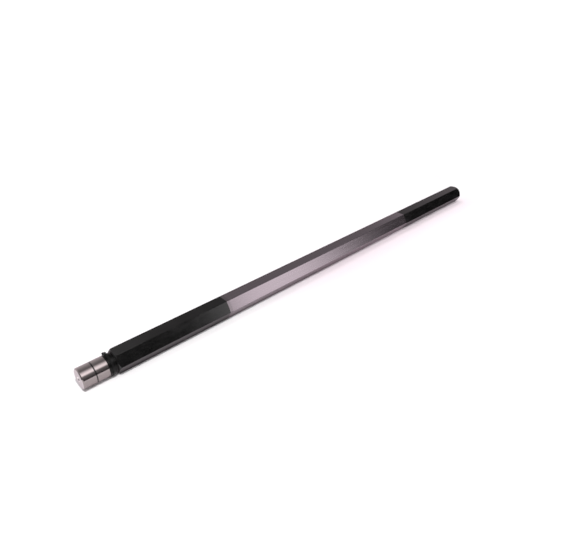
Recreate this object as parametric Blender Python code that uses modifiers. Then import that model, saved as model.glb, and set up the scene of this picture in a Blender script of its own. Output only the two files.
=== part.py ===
"""Hexagonal drive shaft with a turned journal and a retaining ring.

A bright drawn hexagon bar is turned at both ends. The near end is a bearing journal: a circlip groove, a
bearing seat, a stop ring in its own groove, a relief and the hexagon's shoulder. The far end is a short
spigot. Both ends of the hexagon carry a black finish and the middle is left bright.

Units are metres and +Z is up. The shaft lies along X on one of its flats, with the journal at -X. Everything
is modelled in the lathe's own coordinates, where local Z runs along the bar from the journal's end face,
and one empty lays the finished shaft down.
"""
import math

import bmesh
import bpy
from mathutils import Matrix

MM = 0.001

# Hexagon bar
ACROSS_FLATS = 27.0 * MM
HEX_LENGTH = 720.0 * MM
LONG_EDGE_ROUND = 0.4 * MM
SHOULDER_CHAMFER = 2.5 * MM
SHOULDER_CHAMFER_ANGLE = math.radians(45)
LEAD_CHAMFER = 2.4 * MM
LEAD_CHAMFER_ANGLE = math.radians(30)

# Journal, in order from its end face to the hexagon
JOURNAL_DIAMETER = 25.0 * MM
JOURNAL_EDGE = 1.2 * MM
END_LAND = 15.15 * MM
CIRCLIP_GROOVE_WIDTH = 1.3 * MM
GROOVE_DEPTH = 0.55 * MM
BEARING_SEAT = 17.0 * MM
STOP_LAND = 2.4 * MM
RELIEF_WIDTH = 2.2 * MM
RELIEF_DEPTH = 0.5 * MM
RELIEF_SIDE = 0.5 * MM

# Spigot on the far end
SPIGOT_DIAMETER = 22.0 * MM
SPIGOT_LENGTH = 4.0 * MM
SPIGOT_EDGE = 1.0 * MM

# Lathe centre in each end face
CENTRE_MOUTH = 6.3 * MM
CENTRE_PILOT = 2.5 * MM
CENTRE_PILOT_LENGTH = 3.0 * MM
CENTRE_HALF_ANGLE = math.radians(30)
CENTRE_DRILL_HALF_ANGLE = math.radians(59)

# Retaining ring, and the play that lets it turn in its groove
RING_THICKNESS = 2.0 * MM
RING_WIDTH = 1.35 * MM
RING_BORE_PLAY = 0.05 * MM
RING_SIDE_PLAY = 0.075 * MM
LUG_RADIUS = 2.4 * MM
LUG_EYE_INSET = 0.35 * MM
LUG_GAP = 2.8 * MM
LUG_FILLET = 1.5 * MM
PLIER_HOLE = 2.0 * MM
LUG_LEAN = math.radians(35)

# Black finish: how far it runs onto the bearing seat, and along the hexagon from each of its ends
BLACK_ON_SEAT = 3.15 * MM
NEAR_BLACK = 154.0 * MM
FAR_BLACK = 181.2 * MM

# Facets
TURNED_STEPS = 96
LUG_STEPS = 10
HOLE_STEPS = 20
SHARP_ANGLE = math.radians(28)

# Stations along the bar
CIRCLIP_GROOVE_START = END_LAND
CIRCLIP_GROOVE_END = CIRCLIP_GROOVE_START + CIRCLIP_GROOVE_WIDTH
RING_GROOVE_START = CIRCLIP_GROOVE_END + BEARING_SEAT
RING_GROOVE_END = RING_GROOVE_START + RING_THICKNESS + 2 * RING_SIDE_PLAY
RELIEF_START = RING_GROOVE_END + STOP_LAND
SHOULDER = RELIEF_START + RELIEF_WIDTH
HEX_END = SHOULDER + HEX_LENGTH
TOTAL_LENGTH = HEX_END + SPIGOT_LENGTH

BLACK_START = RING_GROOVE_START - BLACK_ON_SEAT
BRIGHT_START = SHOULDER + NEAR_BLACK
BRIGHT_END = HEX_END - FAR_BLACK

# Radii
CORNER_RADIUS = ACROSS_FLATS / math.sqrt(3)
JOURNAL_RADIUS = JOURNAL_DIAMETER / 2
GROOVE_RADIUS = JOURNAL_RADIUS - GROOVE_DEPTH
RELIEF_RADIUS = JOURNAL_RADIUS - RELIEF_DEPTH
RING_BORE_RADIUS = GROOVE_RADIUS + RING_BORE_PLAY
RING_RIM_RADIUS = RING_BORE_RADIUS + RING_WIDTH
LUG_EYE_RADIUS = RING_RIM_RADIUS - LUG_EYE_INSET


def clear_scene():
    for obj in list(bpy.data.objects):
        bpy.data.objects.remove(obj, do_unlink=True)


def new_collection(name):
    collection = bpy.data.collections.new(name)
    bpy.context.scene.collection.children.link(collection)
    return collection


def move_to(obj, collection):
    for other in list(obj.users_collection):
        other.objects.unlink(obj)
    collection.objects.link(obj)


def metal(name, colour, metallic, roughness):
    material = bpy.data.materials.new(name)
    material.use_nodes = True
    shader = material.node_tree.nodes["Principled BSDF"]
    shader.inputs["Base Color"].default_value = (*colour, 1.0)
    shader.inputs["Metallic"].default_value = metallic
    shader.inputs["Roughness"].default_value = roughness
    return material


def bright_steel():
    return metal("bright_ground_steel", (0.55, 0.51, 0.51), 1.0, 0.28)


def black_finish():
    return metal("black_finish", (0.012, 0.012, 0.013), 0.0, 0.32)


def spring_steel():
    return metal("black_spring_steel", (0.03, 0.03, 0.032), 0.6, 0.38)


def centre_hole(face, inward):
    """Profile of a lathe centre from its pilot's tip on the axis out to its mouth in the end face."""
    mouth = CENTRE_MOUTH / 2
    pilot = CENTRE_PILOT / 2
    cone_depth = (mouth - pilot) / math.tan(CENTRE_HALF_ANGLE)
    pilot_depth = cone_depth + CENTRE_PILOT_LENGTH
    tip_depth = pilot_depth + pilot / math.tan(CENTRE_DRILL_HALF_ANGLE)
    return [
        (0.0, face + inward * tip_depth),
        (pilot, face + inward * pilot_depth),
        (pilot, face + inward * cone_depth),
        (mouth, face),
    ]


def hexagon_ends():
    """Outer side of the turned envelope over the hexagon: clear of the bar except at its two chamfers."""
    clear = CORNER_RADIUS + SHOULDER_CHAMFER
    near_face = CORNER_RADIUS - SHOULDER_CHAMFER
    far_face = CORNER_RADIUS - LEAD_CHAMFER
    near_run = (clear - near_face) / math.tan(SHOULDER_CHAMFER_ANGLE)
    far_run = (clear - far_face) / math.tan(LEAD_CHAMFER_ANGLE)
    return [
        (far_face, HEX_END),
        (clear, HEX_END - far_run),
        (clear, SHOULDER + near_run),
        (near_face, SHOULDER),
    ]


def journal_outline():
    """Outer side of the journal from the hexagon's shoulder to the chamfer on its end face."""
    return [
        (RELIEF_RADIUS, SHOULDER),
        (RELIEF_RADIUS, RELIEF_START + RELIEF_SIDE),
        (JOURNAL_RADIUS, RELIEF_START),
        (JOURNAL_RADIUS, RING_GROOVE_END),
        (GROOVE_RADIUS, RING_GROOVE_END),
        (GROOVE_RADIUS, RING_GROOVE_START),
        (JOURNAL_RADIUS, RING_GROOVE_START),
        (JOURNAL_RADIUS, BLACK_START),
        (JOURNAL_RADIUS, CIRCLIP_GROOVE_END),
        (GROOVE_RADIUS, CIRCLIP_GROOVE_END),
        (GROOVE_RADIUS, CIRCLIP_GROOVE_START),
        (JOURNAL_RADIUS, CIRCLIP_GROOVE_START),
        (JOURNAL_RADIUS, JOURNAL_EDGE),
        (JOURNAL_RADIUS - JOURNAL_EDGE, 0.0),
    ]


def turned_envelope(collection):
    """What the lathe leaves: the far spigot, room for the hexagon with its chamfers, and the journal."""
    spigot = SPIGOT_DIAMETER / 2
    profile = centre_hole(TOTAL_LENGTH, -1)
    profile += [
        (spigot - SPIGOT_EDGE, TOTAL_LENGTH),
        (spigot, TOTAL_LENGTH - SPIGOT_EDGE),
        (spigot, HEX_END),
    ]
    profile += hexagon_ends()
    profile += journal_outline()
    profile += reversed(centre_hole(0.0, 1))

    mesh = bpy.data.meshes.new("turned_envelope")
    points = [(radius, 0.0, along) for radius, along in profile]
    mesh.from_pydata(points, [(i, i + 1) for i in range(len(points) - 1)], [])
    envelope = bpy.data.objects.new("turned_envelope", mesh)
    collection.objects.link(envelope)
    screw = envelope.modifiers.new("turn", "SCREW")
    screw.axis = "Z"
    screw.steps = TURNED_STEPS
    screw.render_steps = TURNED_STEPS
    screw.use_merge_vertices = True
    screw.merge_threshold = 0.00001
    envelope.hide_render = True
    envelope.display_type = "WIRE"
    return envelope


def hexagon_blank(collection):
    """The drawn bar before turning: a hexagonal prism, longer than the shaft, with rounded long edges."""
    spare = ACROSS_FLATS
    bpy.ops.mesh.primitive_cylinder_add(vertices=6, radius=CORNER_RADIUS, depth=TOTAL_LENGTH + 2 * spare)
    blank = bpy.context.object
    blank.name = "hex_shaft"
    blank.data.name = "hex_shaft"
    blank.data.transform(Matrix.Translation((0.0, 0.0, TOTAL_LENGTH / 2)))
    move_to(blank, collection)

    form = bmesh.new()
    form.from_mesh(blank.data)
    long_edges = [edge for edge in form.edges if edge.calc_length() > TOTAL_LENGTH]
    bmesh.ops.bevel(form, geom=long_edges, offset=LONG_EDGE_ROUND, segments=3, profile=0.5, affect="EDGES")
    form.to_mesh(blank.data)
    form.free()
    return blank


def settle(obj):
    """Replace an object's modifiers by the mesh they give."""
    evaluated = obj.evaluated_get(bpy.context.evaluated_depsgraph_get())
    mesh = bpy.data.meshes.new_from_object(evaluated)
    mesh.name = obj.name
    obj.modifiers.clear()
    obj.data = mesh


def shade_round(obj):
    obj.data.shade_smooth()
    obj.data.set_sharp_from_angle(angle=SHARP_ANGLE)


def finish_zones(shaft):
    """Score the bar where the finish changes, and give each zone its material."""
    shaft.data.materials.clear()
    shaft.data.materials.append(bright_steel())
    shaft.data.materials.append(black_finish())
    form = bmesh.new()
    form.from_mesh(shaft.data)
    for station in (BRIGHT_START, BRIGHT_END):
        everything = form.verts[:] + form.edges[:] + form.faces[:]
        bmesh.ops.bisect_plane(form, geom=everything, dist=0.0, plane_co=(0, 0, station), plane_no=(0, 0, 1))
    for face in form.faces:
        along = face.calc_center_median().z
        near_black = BLACK_START < along < BRIGHT_START
        far_black = along > BRIGHT_END
        face.material_index = 1 if near_black or far_black else 0
    form.to_mesh(shaft.data)
    form.free()


def hex_shaft(parts, cutters):
    shaft = hexagon_blank(parts)
    turning = shaft.modifiers.new("turning", "BOOLEAN")
    turning.operation = "INTERSECT"
    turning.object = turned_envelope(cutters)
    turning.solver = "EXACT"
    settle(shaft)
    finish_zones(shaft)
    shade_round(shaft)
    return shaft


def arc(centre, radius, start, end, steps):
    """Points on an arc, from one angle to the other, with both ends."""
    angles = [start + (end - start) * i / steps for i in range(steps + 1)]
    return [(centre[0] + radius * math.cos(a), centre[1] + radius * math.sin(a)) for a in angles]


def lug_layout():
    """Centre of the +Y lug's eye, and centre of the fillet that blends it into the ring's rim."""
    eye_side = LUG_GAP / 2 + LUG_RADIUS
    eye_angle = math.asin(eye_side / LUG_EYE_RADIUS)
    eye = (LUG_EYE_RADIUS * math.cos(eye_angle), eye_side)
    fillet_radius = RING_RIM_RADIUS + LUG_FILLET
    apart = LUG_RADIUS + LUG_FILLET
    cosine = (LUG_EYE_RADIUS**2 + fillet_radius**2 - apart**2) / (2 * LUG_EYE_RADIUS * fillet_radius)
    fillet_angle = eye_angle + math.acos(cosine)
    fillet = (fillet_radius * math.cos(fillet_angle), fillet_radius * math.sin(fillet_angle))
    return eye, fillet, fillet_angle


def half_ring_outline():
    """The ring's +Y half: from the back of the bore, round to the gap, over the lug and back along the rim.

    The lugs point to +X. The lug's eye is an arc about its plier hole that leaves the gap's straight side
    and runs into a fillet, and the fillet runs into the rim.
    """
    eye, fillet, fillet_angle = lug_layout()
    gap_angle = math.asin(LUG_GAP / 2 / RING_BORE_RADIUS)
    to_fillet = math.atan2(fillet[1] - eye[1], fillet[0] - eye[0])
    round_steps = TURNED_STEPS // 2
    outline = arc((0, 0), RING_BORE_RADIUS, math.pi, gap_angle, round_steps)
    outline += arc(eye, LUG_RADIUS, -math.pi / 2, to_fillet, LUG_STEPS)
    outline += arc(fillet, LUG_FILLET, to_fillet + math.pi, fillet_angle + math.pi, LUG_STEPS // 2)[1:]
    outline += arc((0, 0), RING_RIM_RADIUS, fillet_angle, math.pi, round_steps)[1:]
    return outline


def add_loop(curve, points):
    spline = curve.splines.new("POLY")
    spline.points.add(len(points) - 1)
    for point, (x, y) in zip(spline.points, points):
        point.co = (x, y, 0.0, 1.0)
    spline.use_cyclic_u = True


def ring_outline():
    """Full outline: the half, then its mirror image run backwards, without the points both halves share."""
    half = half_ring_outline()
    mirrored = [(x, -y) for x, y in reversed(half)]
    return half + mirrored[1:-1]


def plate_from_curve(curve_object, collection):
    """Turn a filled curve into a welded mesh object in the same place."""
    evaluated = curve_object.evaluated_get(bpy.context.evaluated_depsgraph_get())
    mesh = bpy.data.meshes.new_from_object(evaluated)
    form = bmesh.new()
    form.from_mesh(mesh)
    bmesh.ops.remove_doubles(form, verts=form.verts[:], dist=0.000001)
    form.to_mesh(mesh)
    form.free()
    name = curve_object.name
    place = curve_object.matrix_world.copy()
    bpy.data.objects.remove(curve_object, do_unlink=True)
    mesh.name = name
    plate = bpy.data.objects.new(name, mesh)
    plate.matrix_world = place
    collection.objects.link(plate)
    return plate


def retaining_ring(parts):
    curve = bpy.data.curves.new("retaining_ring", "CURVE")
    curve.dimensions = "2D"
    curve.fill_mode = "BOTH"
    curve.extrude = RING_THICKNESS / 2
    add_loop(curve, ring_outline())
    eye = lug_layout()[0]
    for side in (1, -1):
        centre = (eye[0], side * eye[1])
        add_loop(curve, arc(centre, PLIER_HOLE / 2, 0.0, 2 * math.pi, HOLE_STEPS)[:-1])
    drawn = bpy.data.objects.new("retaining_ring", curve)
    parts.objects.link(drawn)
    drawn.location.z = (RING_GROOVE_START + RING_GROOVE_END) / 2
    drawn.rotation_euler.z = math.pi - LUG_LEAN
    bpy.context.view_layer.update()
    ring = plate_from_curve(drawn, parts)
    ring.data.materials.append(spring_steel())
    shade_round(ring)
    return ring


def lay_down(pieces, collection):
    """Turn the lathe's axis along X and rest the hexagon's lower flat on the ground."""
    axis = bpy.data.objects.new("shaft_axis", None)
    axis.empty_display_type = "ARROWS"
    axis.location = (-TOTAL_LENGTH / 2, 0.0, ACROSS_FLATS / 2)
    axis.rotation_euler = (0.0, math.pi / 2, 0.0)
    collection.objects.link(axis)
    for piece in pieces:
        piece.parent = axis


def main():
    clear_scene()
    parts = new_collection("hexagonal_shaft")
    cutters = new_collection("cutters")
    shaft = hex_shaft(parts, cutters)
    ring = retaining_ring(parts)
    lay_down([shaft, ring], parts)


main()
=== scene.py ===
"""Looks of the hexagonal shaft and its retaining ring: finer meshes, metal finishes, studio and camera.

The shaft lies along X on one flat, with the journal at -X. Lengths are in metres. Stations along the bar
are measured from the journal's end face, radii from the shaft's axis.
"""
import math

import bmesh
import bpy
from mathutils import Matrix, Vector


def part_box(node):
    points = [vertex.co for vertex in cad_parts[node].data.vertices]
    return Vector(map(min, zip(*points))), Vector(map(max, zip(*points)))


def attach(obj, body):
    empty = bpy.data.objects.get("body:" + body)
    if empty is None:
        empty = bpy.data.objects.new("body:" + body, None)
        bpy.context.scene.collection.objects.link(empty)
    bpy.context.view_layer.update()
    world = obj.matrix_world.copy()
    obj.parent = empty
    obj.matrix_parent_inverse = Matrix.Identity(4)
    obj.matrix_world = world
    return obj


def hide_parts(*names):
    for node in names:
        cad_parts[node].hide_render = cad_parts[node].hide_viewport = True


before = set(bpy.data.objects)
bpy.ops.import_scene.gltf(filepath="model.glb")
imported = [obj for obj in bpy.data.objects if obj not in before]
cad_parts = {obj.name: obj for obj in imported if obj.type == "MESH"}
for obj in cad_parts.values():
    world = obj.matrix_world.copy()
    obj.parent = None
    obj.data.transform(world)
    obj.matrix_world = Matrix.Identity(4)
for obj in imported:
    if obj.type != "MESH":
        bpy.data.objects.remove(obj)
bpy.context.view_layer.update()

MM = 0.001

# The frame's own box, and the sizes that follow from it
SHAFT_LOW, SHAFT_HIGH = (Vector(corner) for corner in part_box("hex_shaft"))
RING_LOW, RING_HIGH = (Vector(corner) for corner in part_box("retaining_ring"))
NEAR_X = SHAFT_LOW.x
FAR_X = SHAFT_HIGH.x
LENGTH = FAR_X - NEAR_X
ACROSS_FLATS = SHAFT_HIGH.z - SHAFT_LOW.z
AXIS_Z = SHAFT_LOW.z + ACROSS_FLATS / 2
CORNER_RADIUS = ACROSS_FLATS / math.sqrt(3)

# Turned sizes of the shaft
JOURNAL_RADIUS = 12.5 * MM
JOURNAL_EDGE = 1.2 * MM
GROOVE_RADIUS = 11.95 * MM
CIRCLIP_GROOVE = (15.15 * MM, 16.45 * MM)
RING_GROOVE = (33.45 * MM, 35.6 * MM)
RELIEF_START = 38.0 * MM
RELIEF_SIDE = 0.5 * MM
RELIEF_RADIUS = 12.0 * MM
SHOULDER = 40.2 * MM
SHOULDER_CHAMFER = 2.5 * MM
SPIGOT_LENGTH = 4.0 * MM
HEX_END = LENGTH - SPIGOT_LENGTH
SPIGOT_RADIUS = 11.0 * MM
SPIGOT_EDGE = 1.0 * MM
LEAD_CHAMFER = 2.4 * MM
LEAD_CHAMFER_ANGLE = math.radians(30)
CENTRE_MOUTH = 3.15 * MM
CENTRE_PILOT = 1.25 * MM
CENTRE_PILOT_LENGTH = 3.0 * MM
CENTRE_HALF_ANGLE = math.radians(30)
CENTRE_DRILL_HALF_ANGLE = math.radians(59)

# Softened edges of the finer mesh. An arc at a corner takes up no more than a share of either side. The long
# edges are rounded a little more than the solid's, because a finer arc reaches further out than a coarse one,
# and the mesh has to stay in the solid's box.
TURNED_EDGE_ROUND = 0.12 * MM
TURNED_EDGE_SEGMENTS = 3
LARGEST_SHARE_OF_SIDE = 0.4
LONG_EDGE_ROUND = 0.44 * MM
LONG_EDGE_SEGMENTS = 4
TURNED_STEPS = 192
SHARP_ANGLE = math.radians(24)
FLAT_FACE_WEIGHT = 80
MERGE_DISTANCE = 0.001 * MM

# Retaining ring
RING_BORE = 12.0 * MM
RING_RIM = 13.35 * MM
LUG_RADIUS = 2.4 * MM
LUG_EYE_RADIUS = 13.0 * MM
LUG_GAP = 2.8 * MM
LUG_FILLET = 1.5 * MM
PLIER_HOLE_RADIUS = 1.0 * MM
LUG_LEAN = math.radians(35)
RING_EDGE_ROUND = 0.12 * MM
RING_EDGE_RESOLUTION = 2
HALF_RING_STEPS = 90
LUG_STEPS = 20
LUG_FILLET_STEPS = 10
PLIER_HOLE_STEPS = 40

# Finish zones along the bar, and how softly and unevenly one finish gives way to the next
BLACK_START = 30.3 * MM
BRIGHT_START = 194.2 * MM
RUN_OUT_END = 199.0 * MM
BRIGHT_END = 579.0 * MM
FINISH_EDGE_SOFTNESS = 0.15 * MM
FINISH_EDGE_WANDER = 0.8 * MM
ZONE_STEP = 1 * MM
FINE_STEP = 0.1 * MM
GROOVE_SHADE = (GROOVE_RADIUS + 0.2 * MM, GROOVE_RADIUS + 0.4 * MM)
END_FACE_SPAN = (0.1 * MM, 0.4 * MM)

# Noise of the finishes: waves per metre along each coordinate, detail and roughness
FINISH_EDGE_WAVES = ((0.0, 260.0, 260.0), 2.0, 0.5)
FINE_GRAIN = ((45.0, 3800.0, 3800.0), 3.0, 0.6)
BROAD_GRAIN = ((14.0, 620.0, 620.0), 2.0, 0.5)
TOOL_MARKS = ((7000.0, 7000.0, 0.0), 2.0, 0.6)
BLACK_MOTTLE = ((55.0, 120.0, 120.0), 4.0, 0.6)
BLACK_SPECK = ((1400.0, 1400.0, 1400.0), 2.0, 0.6)
RING_GRAIN = ((2600.0, 2600.0, 2600.0), 3.0, 0.6)
RING_CLOUD = ((300.0, 300.0, 300.0), 3.0, 0.6)

# Range of a noise that a colour, or a roughness, is spread over
COLOUR_SPAN = (0.3, 0.7)
ROUGH_SPAN = (0.25, 0.75)

# Colours, the first four from the darkest streak or spot to the lightest
GROUND_STEEL = ((0.255, 0.22, 0.24, 1.0), (0.285, 0.245, 0.27, 1.0))
JOURNAL_STEEL = ((0.27, 0.235, 0.235, 1.0), (0.315, 0.275, 0.275, 1.0))
BLACKING = ((0.05, 0.05, 0.05, 1.0), (0.058, 0.058, 0.058, 1.0))
RING_BLACK = ((0.002, 0.002, 0.002, 1.0), (0.006, 0.006, 0.006, 1.0))
# Painted shade: darker blacking around the ring, from the journal's black end to the shoulder
NECK_SHADE_BLACK = (0.02, 0.02, 0.02, 1.0)
RUN_OUT_STEEL = (0.15, 0.135, 0.14, 1.0)
RUN_OUT_SHARE = 0.35
# Painted light: brighter steel for the faced end, and brighter still for the centre drilled in it
END_FACE_PAINTED_LIGHT = (0.6, 0.55, 0.56, 1.0)
CENTRE_PAINTED_LIGHT = (0.9, 0.84, 0.85, 1.0)
GRAZING_TINT = (0.72, 0.68, 0.7, 1.0)

# Gloss and relief of the surfaces
FLAT_ROUGHNESS = (0.14, 0.2)
JOURNAL_ROUGHNESS = (0.1, 0.15)
BLACK_ROUGHNESS = (0.16, 0.23)
NECK_ROUGHNESS = 0.3
RING_ROUGHNESS = (0.4, 0.55)
SHAFT_SPECULAR = 0.45
RING_SPECULAR = 0.2
SPECK_SHARE = 0.6
BUMP_STRENGTH = 0.3
SHAFT_BUMP = 0.012 * MM
RING_BUMP = 0.02 * MM

# Camera, found by fitting the shaft's outlines: its place from the journal's end, in sizes across flats
CAMERA_FROM_END = Vector((-4.0758, -16.1415, 13.8458))
CAMERA_PLACE = Vector((NEAR_X, 0.0, AXIS_Z)) + CAMERA_FROM_END * ACROSS_FLATS
CAMERA_PITCH = math.radians(-31.08)
CAMERA_HEADING = math.radians(-43.05)
SENSOR_WIDTH = 36.0
FOCAL_LENGTH = 31.69
CLIP_START = 0.01

# Floor: its size, how far from below the camera it begins, and how far below the shaft it lies
FLOOR_SIZE = 80.0
FLOOR_START = 0.2
FLOOR_DROP = 0.1 * MM

# Floor paper: its own colour, a pinker painted shadow tint beside the bar past its near black section, and a
# faint glow that keeps it white further out
PAPER = (0.95, 0.94, 0.945, 1.0)
PAPER_SHADOW_TINT = (0.99, 0.9, 0.945, 1.0)
BESIDE_START = (NEAR_X + 0.2, NEAR_X + 0.4)
BESIDE_END = (FAR_X, FAR_X + 0.05)
BESIDE_WIDTH = (0.025, 0.05)
PAPER_ROUGHNESS = 0.9
GLOW_COLOUR = (1.0, 0.95, 0.98, 1.0)
GLOW_SPAN = (0.03, 0.4)
GLOW_STRENGTH = 0.6

# Studio light by direction. Angles are in degrees about the shaft's axis: 0 towards the camera's side, 90
# straight up, 180 towards the back. The X spans are of the direction's own X: -1 near end, 1 far end.
SOFTBOX_ANGLES = ((38.0, 56.0), (60.0, 102.0))
SOFTBOX_X = ((-0.4, -0.2), (0.22, 0.38))
SOFTBOX_LIGHT = 2.5
PANEL_ANGLES = ((-6.0, 2.0), (36.0, 44.0))
PANEL_X = ((0.425, 0.5), (0.6, 0.75))
PANEL_LIGHT = 2.1
FRONT_ANGLES = (4.0, 40.0)
FRONT_LIGHT = (0.12, 0.42)
FRONT_X = (0.22, 0.29)
FRONT_FAR_SHARE = 0.2
BEHIND_ANGLES = (95.0, 115.0)
BEHIND_X = (0.72, 0.88)
BEHIND_LIGHT = (0.37, 1.0)
WALL_ANGLES = (112.0, 180.0)
WALL_X = (0.2, 0.4)
WALL_LIGHT = 0.8
STUDIO_TINT = (1.0, 0.97, 0.985, 1.0)
BACKDROP_WHITE = (1.0, 1.0, 1.0, 1.0)
BACKDROP_LIGHT = 1.05

# Lamps: place along X, angle as above but in radians, distance from the shaft's axis, radius and power
LAMP_SPREAD = math.radians(96)
KEY_LAMP = {"x": -0.42, "angle": math.radians(67), "distance": 0.75, "radius": 0.05, "energy": 15.0}
FILL_LAMP = {"x": 0.35, "angle": math.radians(64), "distance": 0.5, "radius": 0.15, "energy": 3.5}
BACK_LAMP = {"x": 0.25, "angle": math.radians(110), "distance": 0.75, "radius": 0.15, "energy": 5.2}


class Graph:
    """Short forms for building a node tree. An input may be a number, a colour or another node's output."""

    def __init__(self, tree):
        self.tree = tree
        tree.nodes.clear()

    def node(self, kind, inputs=None, **settings):
        node = self.tree.nodes.new(kind)
        for name, value in settings.items():
            setattr(node, name, value)
        for name, value in (inputs or {}).items():
            self.feed(node.inputs[name], value)
        return node

    def feed(self, socket, value):
        if isinstance(value, bpy.types.NodeSocket):
            self.tree.links.new(value, socket)
        else:
            socket.default_value = value

    def feed_all(self, node, values):
        """Feeds the node's first inputs in their order and gives its first output."""
        for socket, value in zip(node.inputs, values):
            self.feed(socket, value)
        return node.outputs[0]

    def math(self, operation, first, second=0.0, third=0.0, clamp=False):
        node = self.node("ShaderNodeMath", operation=operation, use_clamp=clamp)
        return self.feed_all(node, (first, second, third))

    def times(self, first, second):
        return self.math("MULTIPLY", first, second)

    def ramp(self, value, low, high, at_low=0.0, at_high=1.0):
        """at_low below low, at_high above high, and a smooth step between."""
        node = self.node("ShaderNodeMapRange", interpolation_type="SMOOTHSTEP")
        return self.feed_all(node, (value, low, high, at_low, at_high))

    def fall(self, value, low, high):
        """1 below low, 0 above high, and a smooth step between."""
        return self.ramp(value, low, high, 1.0, 0.0)

    def window(self, value, rise, fall):
        """1 between two spans and 0 outside them, with a smooth step across each."""
        return self.times(self.ramp(value, *rise), self.fall(value, *fall))

    def blend(self, factor, first, second):
        """Colour that goes from first to second as factor goes from 0 to 1."""
        node = self.node("ShaderNodeMix", data_type="RGBA")
        self.feed(node.inputs[0], factor)
        self.feed(node.inputs[6], first)
        self.feed(node.inputs[7], second)
        return node.outputs[2]

    def number(self, factor, first, second):
        """Number that goes from first to second as factor goes from 0 to 1."""
        node = self.node("ShaderNodeMix", data_type="FLOAT")
        self.feed(node.inputs[0], factor)
        self.feed(node.inputs[2], first)
        self.feed(node.inputs[3], second)
        return node.outputs[0]

    def split(self, vector):
        """The three parts of a vector."""
        return self.node("ShaderNodeSeparateXYZ", {"Vector": vector}).outputs

    def noise(self, parts, waves, detail, roughness):
        """Noise over three coordinates, each with its own number of waves per metre."""
        scaled = [self.times(part, wave) for part, wave in zip(parts, waves)]
        vector = self.feed_all(self.node("ShaderNodeCombineXYZ"), scaled)
        inputs = {"Vector": vector, "Scale": 1.0, "Detail": detail, "Roughness": roughness}
        return self.node("ShaderNodeTexNoise", inputs).outputs["Fac"]

    def bump(self, height, distance):
        inputs = {"Strength": BUMP_STRENGTH, "Distance": distance, "Height": height}
        return self.node("ShaderNodeBump", inputs).outputs[0]

    def surface(self, inputs):
        shader = self.node("ShaderNodeBsdfPrincipled", inputs)
        self.node("ShaderNodeOutputMaterial", {"Surface": shader.outputs[0]})


def rounded(profile, radius):
    """The profile with each inner corner replaced by a short arc that touches both of its sides."""
    points = [Vector(point) for point in profile]
    result = [points[0]]
    for before, corner, after in zip(points, points[1:], points[2:]):
        to_before = before - corner
        to_after = after - corner
        turn = math.pi - to_before.angle(to_after)
        largest = LARGEST_SHARE_OF_SIDE * min(to_before.length, to_after.length)
        cut = min(radius * math.tan(turn / 2), largest)
        start = corner + to_before.normalized() * cut
        end = corner + to_after.normalized() * cut
        for step in range(TURNED_EDGE_SEGMENTS + 1):
            t = step / TURNED_EDGE_SEGMENTS
            result.append((1 - t) ** 2 * start + 2 * t * (1 - t) * corner + t**2 * end)
    result.append(points[-1])
    return result


def centre_hole(face, inward):
    """Profile of a lathe centre from its pilot's tip on the axis to its mouth in the end face."""
    cone_depth = (CENTRE_MOUTH - CENTRE_PILOT) / math.tan(CENTRE_HALF_ANGLE)
    pilot_depth = cone_depth + CENTRE_PILOT_LENGTH
    tip_depth = pilot_depth + CENTRE_PILOT / math.tan(CENTRE_DRILL_HALF_ANGLE)
    return [
        (0.0, face + inward * tip_depth),
        (CENTRE_PILOT, face + inward * pilot_depth),
        (CENTRE_PILOT, face + inward * cone_depth),
        (CENTRE_MOUTH, face),
    ]


def groove(span):
    """A square groove in the journal, run from its far wall to its near wall."""
    near, far = span
    return [(JOURNAL_RADIUS, far), (GROOVE_RADIUS, far), (GROOVE_RADIUS, near), (JOURNAL_RADIUS, near)]


def turned_profile():
    """Radius and station of every corner that the lathe cuts, from the far centre to the near one."""
    clear = CORNER_RADIUS + SHOULDER_CHAMFER
    near_face = CORNER_RADIUS - SHOULDER_CHAMFER
    far_face = CORNER_RADIUS - LEAD_CHAMFER
    profile = centre_hole(LENGTH, -1)
    profile += [
        (SPIGOT_RADIUS - SPIGOT_EDGE, LENGTH),
        (SPIGOT_RADIUS, LENGTH - SPIGOT_EDGE),
        (SPIGOT_RADIUS, HEX_END),
        (far_face, HEX_END),
        (clear, HEX_END - (clear - far_face) / math.tan(LEAD_CHAMFER_ANGLE)),
        (clear, SHOULDER + clear - near_face),
        (near_face, SHOULDER),
        (RELIEF_RADIUS, SHOULDER),
        (RELIEF_RADIUS, RELIEF_START + RELIEF_SIDE),
        (JOURNAL_RADIUS, RELIEF_START),
    ]
    profile += groove(RING_GROOVE)
    profile += groove(CIRCLIP_GROOVE)
    profile += [(JOURNAL_RADIUS, JOURNAL_EDGE), (JOURNAL_RADIUS - JOURNAL_EDGE, 0.0)]
    profile += reversed(centre_hole(0.0, 1))
    return rounded(profile, TURNED_EDGE_ROUND)


def link(obj):
    bpy.context.scene.collection.objects.link(obj)
    return obj


def evaluated_mesh(obj):
    return bpy.data.meshes.new_from_object(obj.evaluated_get(bpy.context.evaluated_depsgraph_get()))


def lathe(profile):
    """Turned body about the local Z axis."""
    mesh = bpy.data.meshes.new("turned")
    mesh.from_pydata([(r, 0.0, z) for r, z in profile], [(i, i + 1) for i in range(len(profile) - 1)], [])
    body = link(bpy.data.objects.new("turned", mesh))
    screw = body.modifiers.new("turn", "SCREW")
    screw.steps = TURNED_STEPS
    screw.render_steps = TURNED_STEPS
    screw.use_merge_vertices = True
    screw.merge_threshold = MERGE_DISTANCE
    return body


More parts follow.
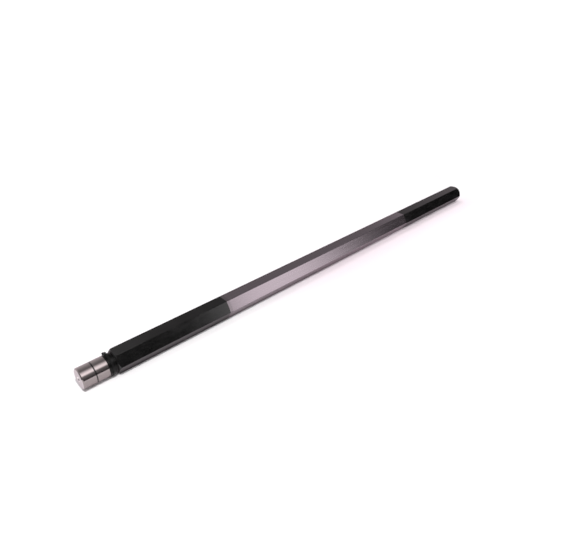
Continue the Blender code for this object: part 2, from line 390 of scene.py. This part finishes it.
def hexagon_blank():
    """Six-sided bar about the local Z axis with softened long edges, longer than the shaft at both ends."""
    bpy.ops.mesh.primitive_cylinder_add(vertices=6, radius=CORNER_RADIUS, depth=LENGTH + 2 * ACROSS_FLATS)
    blank = bpy.context.object
    blank.data.transform(Matrix.Translation((0.0, 0.0, LENGTH / 2)))
    form = bmesh.new()
    form.from_mesh(blank.data)
    bmesh.ops.bevel(
        form,
        geom=[edge for edge in form.edges if edge.calc_length() > LENGTH],
        offset=LONG_EDGE_ROUND,
        segments=LONG_EDGE_SEGMENTS,
        profile=0.5,
        affect="EDGES",
    )
    form.to_mesh(blank.data)
    form.free()
    return blank


def lay_along_x(mesh):
    """Local Z becomes the shaft's axis, from the journal's end face."""
    mesh.transform(Matrix.Translation((NEAR_X, 0.0, AXIS_Z)) @ Matrix.Rotation(math.pi / 2, 4, "Y"))


def finished(name, mesh, material):
    """A smooth-shaded object whose flat faces stay flat beside rounded edges."""
    mesh.name = name
    mesh.materials.clear()
    mesh.materials.append(material)
    mesh.shade_smooth()
    mesh.set_sharp_from_angle(angle=SHARP_ANGLE)
    obj = link(bpy.data.objects.new(name, mesh))
    weighted = obj.modifiers.new("flat faces", "WEIGHTED_NORMAL")
    weighted.keep_sharp = True
    weighted.weight = FLAT_FACE_WEIGHT
    return obj


def make_shaft(material):
    """The hexagon bar, cut by the lathe's profile."""
    blank = hexagon_blank()
    envelope = lathe(turned_profile())
    cut = blank.modifiers.new("turning", "BOOLEAN")
    cut.operation = "INTERSECT"
    cut.solver = "EXACT"
    cut.object = envelope
    mesh = evaluated_mesh(blank)
    for helper in (blank, envelope):
        bpy.data.objects.remove(helper, do_unlink=True)
    lay_along_x(mesh)
    return finished("shaft_bar", mesh, material)


def arc(centre, radius, start, end, steps):
    angles = [start + (end - start) * i / steps for i in range(steps + 1)]
    return [(centre[0] + radius * math.cos(a), centre[1] + radius * math.sin(a)) for a in angles]


def lug_eye():
    """Centre of the lug beside the gap, and its angle from the middle of the gap."""
    side = LUG_GAP / 2 + LUG_RADIUS
    angle = math.asin(side / LUG_EYE_RADIUS)
    return (LUG_EYE_RADIUS * math.cos(angle), side), angle


def ring_outline():
    """Outline of the ring with its lugs towards +X: one half by arcs, then its mirror image."""
    middle = (0.0, 0.0)
    eye, eye_angle = lug_eye()
    fillet_radius = RING_RIM + LUG_FILLET
    apart = LUG_RADIUS + LUG_FILLET
    cosine = (LUG_EYE_RADIUS**2 + fillet_radius**2 - apart**2) / (2 * LUG_EYE_RADIUS * fillet_radius)
    fillet_angle = eye_angle + math.acos(cosine)
    fillet = (fillet_radius * math.cos(fillet_angle), fillet_radius * math.sin(fillet_angle))
    to_fillet = math.atan2(fillet[1] - eye[1], fillet[0] - eye[0])
    gap_angle = math.asin(LUG_GAP / 2 / RING_BORE)
    half = arc(middle, RING_BORE, math.pi, gap_angle, HALF_RING_STEPS)
    half += arc(eye, LUG_RADIUS, -math.pi / 2, to_fillet, LUG_STEPS)
    half += arc(fillet, LUG_FILLET, to_fillet + math.pi, fillet_angle + math.pi, LUG_FILLET_STEPS)[1:]
    half += arc(middle, RING_RIM, fillet_angle, math.pi, HALF_RING_STEPS)[1:]
    mirrored = [(x, -y) for x, y in reversed(half)]
    return half + mirrored[1:-1]


def add_loop(curve, points):
    spline = curve.splines.new("POLY")
    spline.points.add(len(points) - 1)
    for point, (x, y) in zip(spline.points, points):
        point.co = (x, y, 0.0, 1.0)
    spline.use_cyclic_u = True


def make_ring(material):
    """The ring's outline and plier holes as a thick plate with rounded edges, seated in its groove."""
    curve = bpy.data.curves.new("ring", "CURVE")
    curve.dimensions = "2D"
    curve.fill_mode = "BOTH"
    curve.extrude = (RING_HIGH.x - RING_LOW.x) / 2 - RING_EDGE_ROUND
    curve.bevel_depth = RING_EDGE_ROUND
    curve.bevel_resolution = RING_EDGE_RESOLUTION
    curve.offset = -RING_EDGE_ROUND
    add_loop(curve, ring_outline())
    eye_x, eye_y = lug_eye()[0]
    for side in (1, -1):
        hole = arc((eye_x, side * eye_y), PLIER_HOLE_RADIUS, 0.0, 2 * math.pi, PLIER_HOLE_STEPS)
        add_loop(curve, hole[:-1])
    drawn = link(bpy.data.objects.new("ring", curve))
    mesh = evaluated_mesh(drawn)
    bpy.data.objects.remove(drawn, do_unlink=True)
    form = bmesh.new()
    form.from_mesh(mesh)
    bmesh.ops.remove_doubles(form, verts=form.verts[:], dist=MERGE_DISTANCE)
    bmesh.ops.recalc_face_normals(form, faces=form.faces[:])
    form.to_mesh(mesh)
    form.free()
    station = (RING_LOW.x + RING_HIGH.x) / 2 - NEAR_X
    mesh.transform(Matrix.Translation((0.0, 0.0, station)) @ Matrix.Rotation(math.pi - LUG_LEAN, 4, "Z"))
    lay_along_x(mesh)
    return finished("ring_plate", mesh, material)


def new_material(name):
    material = bpy.data.materials.new(name)
    material.use_nodes = True
    return material, Graph(material.node_tree)


def shaft_material():
    """Ground steel on the journal and the middle of the hexagon, black finish on the rest. Painted shade
    darkens the circlip groove and the blacking around the ring, and painted light brightens the end face and
    its centre.
    """
    material, g = new_material("shaft_metal")
    x, y, z = g.split(g.node("ShaderNodeTexCoord").outputs["Object"])
    station = g.math("SUBTRACT", x, NEAR_X)
    height = g.math("SUBTRACT", z, AXIS_Z)
    radius = g.math("POWER", g.math("MULTIPLY_ADD", y, y, g.times(height, height)), 0.5)

    # Where the finish changes, with a slightly uneven edge
    uneven = g.noise((0.0, y, height), *FINISH_EDGE_WAVES)
    edge = g.math("MULTIPLY_ADD", g.math("SUBTRACT", uneven, 0.5), FINISH_EDGE_WANDER, station)
    past_journal, past_near_black, past_bright = (
        g.ramp(edge, change - FINISH_EDGE_SOFTNESS, change + FINISH_EDGE_SOFTNESS)
        for change in (BLACK_START, BRIGHT_START, BRIGHT_END)
    )
    black = g.math("SUBTRACT", g.math("ADD", past_journal, past_bright), past_near_black, clamp=True)
    # Painted shade: the circlip groove's floor takes the black finish, standing for the shade inside the
    # narrow groove
    near_wall, far_wall = CIRCLIP_GROOVE
    painted_groove_shade = g.times(
        g.fall(radius, *GROOVE_SHADE),
        g.window(station, (near_wall - FINE_STEP, near_wall), (far_wall, far_wall + FINE_STEP)),
    )
    black = g.math("MAXIMUM", black, painted_groove_shade)
    # Around the ring the blacking is rougher, and its darker colour there is painted shade
    neck = g.window(station, (BLACK_START - ZONE_STEP, BLACK_START), (SHOULDER, SHOULDER + ZONE_STEP))
    flat = g.ramp(station, SHOULDER - ZONE_STEP, SHOULDER)

    # Lengthwise streaks of the drawn and ground flats, and tool marks that run around the turned surfaces
    fine = g.noise((x, y, z), *FINE_GRAIN)
    broad = g.noise((x, y, z), *BROAD_GRAIN)
    turned = g.noise((station, radius, 0.0), *TOOL_MARKS)
    grain = g.number(flat, turned, fine)
    streaks = g.math("MULTIPLY_ADD", broad, 0.5, g.times(grain, 0.5))
    mottle = g.noise((x, y, z), *BLACK_MOTTLE)
    speck = g.noise((x, y, z), *BLACK_SPECK)

    # Steel, darker on the run-out beside the near black section
    tone = g.ramp(streaks, *COLOUR_SPAN)
    steel = g.blend(flat, g.blend(tone, *JOURNAL_STEEL), g.blend(tone, *GROUND_STEEL))
    past_run_out = g.ramp(edge, RUN_OUT_END - ZONE_STEP, RUN_OUT_END)
    run_out = g.math("SUBTRACT", past_near_black, past_run_out, clamp=True)
    steel = g.blend(g.times(run_out, RUN_OUT_SHARE), steel, RUN_OUT_STEEL)
    # Painted light: the faced end and the centre drilled in it are brighter than the ground seat, standing
    # for the light they catch
    lit_end_face = g.fall(station, *END_FACE_SPAN)
    lit_centre = g.times(
        g.fall(radius, CENTRE_MOUTH, CENTRE_MOUTH + FINE_STEP),
        g.fall(station, near_wall, far_wall),
    )
    steel = g.blend(lit_end_face, steel, END_FACE_PAINTED_LIGHT)
    steel = g.blend(lit_centre, steel, CENTRE_PAINTED_LIGHT)
    blacking = g.blend(g.ramp(mottle, *COLOUR_SPAN), *BLACKING)
    blacking = g.blend(neck, blacking, NECK_SHADE_BLACK)

    flat_rough = g.ramp(streaks, *ROUGH_SPAN, *FLAT_ROUGHNESS)
    journal_rough = g.ramp(streaks, *ROUGH_SPAN, *JOURNAL_ROUGHNESS)
    steel_rough = g.number(flat, journal_rough, flat_rough)
    black_rough = g.number(neck, g.ramp(mottle, *ROUGH_SPAN, *BLACK_ROUGHNESS), NECK_ROUGHNESS)
    black_height = g.math("MULTIPLY_ADD", speck, SPECK_SHARE, g.times(grain, 1.0 - SPECK_SHARE))
    g.surface({
        "Base Color": g.blend(black, steel, blacking),
        "Metallic": 1.0,
        "Roughness": g.number(black, steel_rough, black_rough),
        "Specular IOR Level": SHAFT_SPECULAR,
        "Specular Tint": GRAZING_TINT,
        "Normal": g.bump(g.number(black, grain, black_height), SHAFT_BUMP),
    })
    return material


def ring_material():
    """Black oiled spring steel with a fine grain, clouded with slightly lighter and rougher spots."""
    material, g = new_material("ring_metal")
    parts = g.split(g.node("ShaderNodeTexCoord").outputs["Object"])
    grain = g.noise(parts, *RING_GRAIN)
    cloud = g.noise(parts, *RING_CLOUD)
    g.surface({
        "Base Color": g.blend(g.ramp(cloud, *COLOUR_SPAN), *RING_BLACK),
        "Roughness": g.ramp(cloud, *ROUGH_SPAN, *RING_ROUGHNESS),
        "Metallic": 0.0,
        "Specular IOR Level": RING_SPECULAR,
        "Normal": g.bump(grain, RING_BUMP),
    })
    return material


def floor_material():
    """Pale paper with a pinker painted shadow tint beside the bar past its near black section, that glows
    further out.
    """
    material, g = new_material("floor_paper")
    x, y, z = g.split(g.node("ShaderNodeNewGeometry").outputs["Position"])
    from_axis = g.math("ABSOLUTE", y)
    # Painted shadow tint: the paper is pinker in a strip beside the bar, where its shadow falls
    beside = g.times(g.fall(from_axis, *BESIDE_WIDTH), g.window(x, BESIDE_START, BESIDE_END))
    past_end = g.math("SUBTRACT", g.math("ABSOLUTE", x), LENGTH / 2)
    away = g.math("MAXIMUM", from_axis, past_end)
    g.surface({
        "Base Color": g.blend(beside, PAPER, PAPER_SHADOW_TINT),
        "Roughness": PAPER_ROUGHNESS,
        "Emission Color": GLOW_COLOUR,
        "Emission Strength": g.ramp(away, *GLOW_SPAN, 0.0, GLOW_STRENGTH),
    })
    return material


def make_floor():
    """A wide sheet of paper, from just outside the picture's lower edge to far behind the shaft."""
    bpy.ops.mesh.primitive_plane_add(size=FLOOR_SIZE, rotation=(0.0, 0.0, CAMERA_HEADING))
    floor = bpy.context.object
    heading = Vector((-math.sin(CAMERA_HEADING), math.cos(CAMERA_HEADING), 0.0))
    floor.location = CAMERA_PLACE + heading * (FLOOR_START + FLOOR_SIZE / 2)
    floor.location.z = SHAFT_LOW.z - FLOOR_DROP
    floor.name = "floor"
    floor.data.materials.append(floor_material())


def make_room():
    """A plain soft studio, as light by direction. The camera itself sees a white backdrop instead.

    A long softbox is above and a little in front of the shaft, and a panel is low in front of its far end.
    The front is dim, the back is brighter towards the far end, and a wall glows low behind the near end.
    """
    world = bpy.data.worlds.new("studio")
    bpy.context.scene.world = world
    world.use_nodes = True
    g = Graph(world.node_tree)
    x, y, z = g.split(g.node("ShaderNodeTexCoord").outputs["Generated"])
    angle = g.math("DEGREES", g.math("ARCTAN2", z, g.times(y, -1.0)))

    softbox = g.times(g.window(angle, *SOFTBOX_ANGLES), g.window(x, *SOFTBOX_X))
    panel = g.times(g.window(angle, *PANEL_ANGLES), g.window(x, *PANEL_X))
    front = g.times(g.ramp(angle, *FRONT_ANGLES, *FRONT_LIGHT), g.ramp(x, *FRONT_X, 1.0, FRONT_FAR_SHARE))
    behind = g.times(g.ramp(angle, *BEHIND_ANGLES), g.ramp(x, *BEHIND_X, *BEHIND_LIGHT))
    wall = g.times(g.ramp(angle, *WALL_ANGLES, 0.0, WALL_LIGHT), g.fall(x, *WALL_X))
    light = g.math("ADD", g.math("MAXIMUM", front, behind), wall)
    light = g.math("ADD", light, g.times(softbox, SOFTBOX_LIGHT))
    light = g.math("ADD", light, g.times(panel, PANEL_LIGHT))

    studio = g.node("ShaderNodeBackground", {"Color": STUDIO_TINT, "Strength": light})
    backdrop = g.node("ShaderNodeBackground", {"Color": BACKDROP_WHITE, "Strength": BACKDROP_LIGHT})
    seen = g.node("ShaderNodeLightPath").outputs["Is Camera Ray"]
    either = g.node("ShaderNodeMixShader")
    g.feed_all(either, (seen, studio.outputs[0], backdrop.outputs[0]))
    g.node("ShaderNodeOutputWorld", {"Surface": either.outputs[0]})


def make_lamp(name, x, angle, distance, radius, energy):
    """Round soft lamp, aimed at the shaft's axis. Mirror reflections see the studio instead."""
    lamp = bpy.data.lights.new(name, "SPOT")
    lamp.spot_size = LAMP_SPREAD
    lamp.spot_blend = 1.0
    lamp.shadow_soft_size = radius
    lamp.energy = energy
    spot = link(bpy.data.objects.new(name, lamp))
    outward = Vector((0.0, -math.cos(angle), math.sin(angle)))
    spot.location = outward * distance + Vector((x, 0.0, 0.0))
    spot.rotation_euler = (-outward).to_track_quat("-Z", "Y").to_euler()
    spot.visible_glossy = False


def make_camera():
    data = bpy.data.cameras.new("camera")
    data.sensor_fit = "HORIZONTAL"
    data.sensor_width = SENSOR_WIDTH
    data.lens = FOCAL_LENGTH
    data.clip_start = CLIP_START
    camera = link(bpy.data.objects.new("camera", data))
    camera.location = CAMERA_PLACE
    camera.rotation_euler = (math.pi / 2 + CAMERA_PITCH, 0.0, CAMERA_HEADING)
    bpy.context.scene.camera = camera


shaft = make_shaft(shaft_material())
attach(shaft, "shaft")
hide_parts("hex_shaft")

ring = make_ring(ring_material())
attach(ring, "ring")
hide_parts("retaining_ring")

make_floor()
make_room()
make_lamp("key", **KEY_LAMP)
make_lamp("fill", **FILL_LAMP)
make_lamp("back", **BACK_LAMP)
make_camera()
bpy.context.scene.view_settings.view_transform = "Standard"
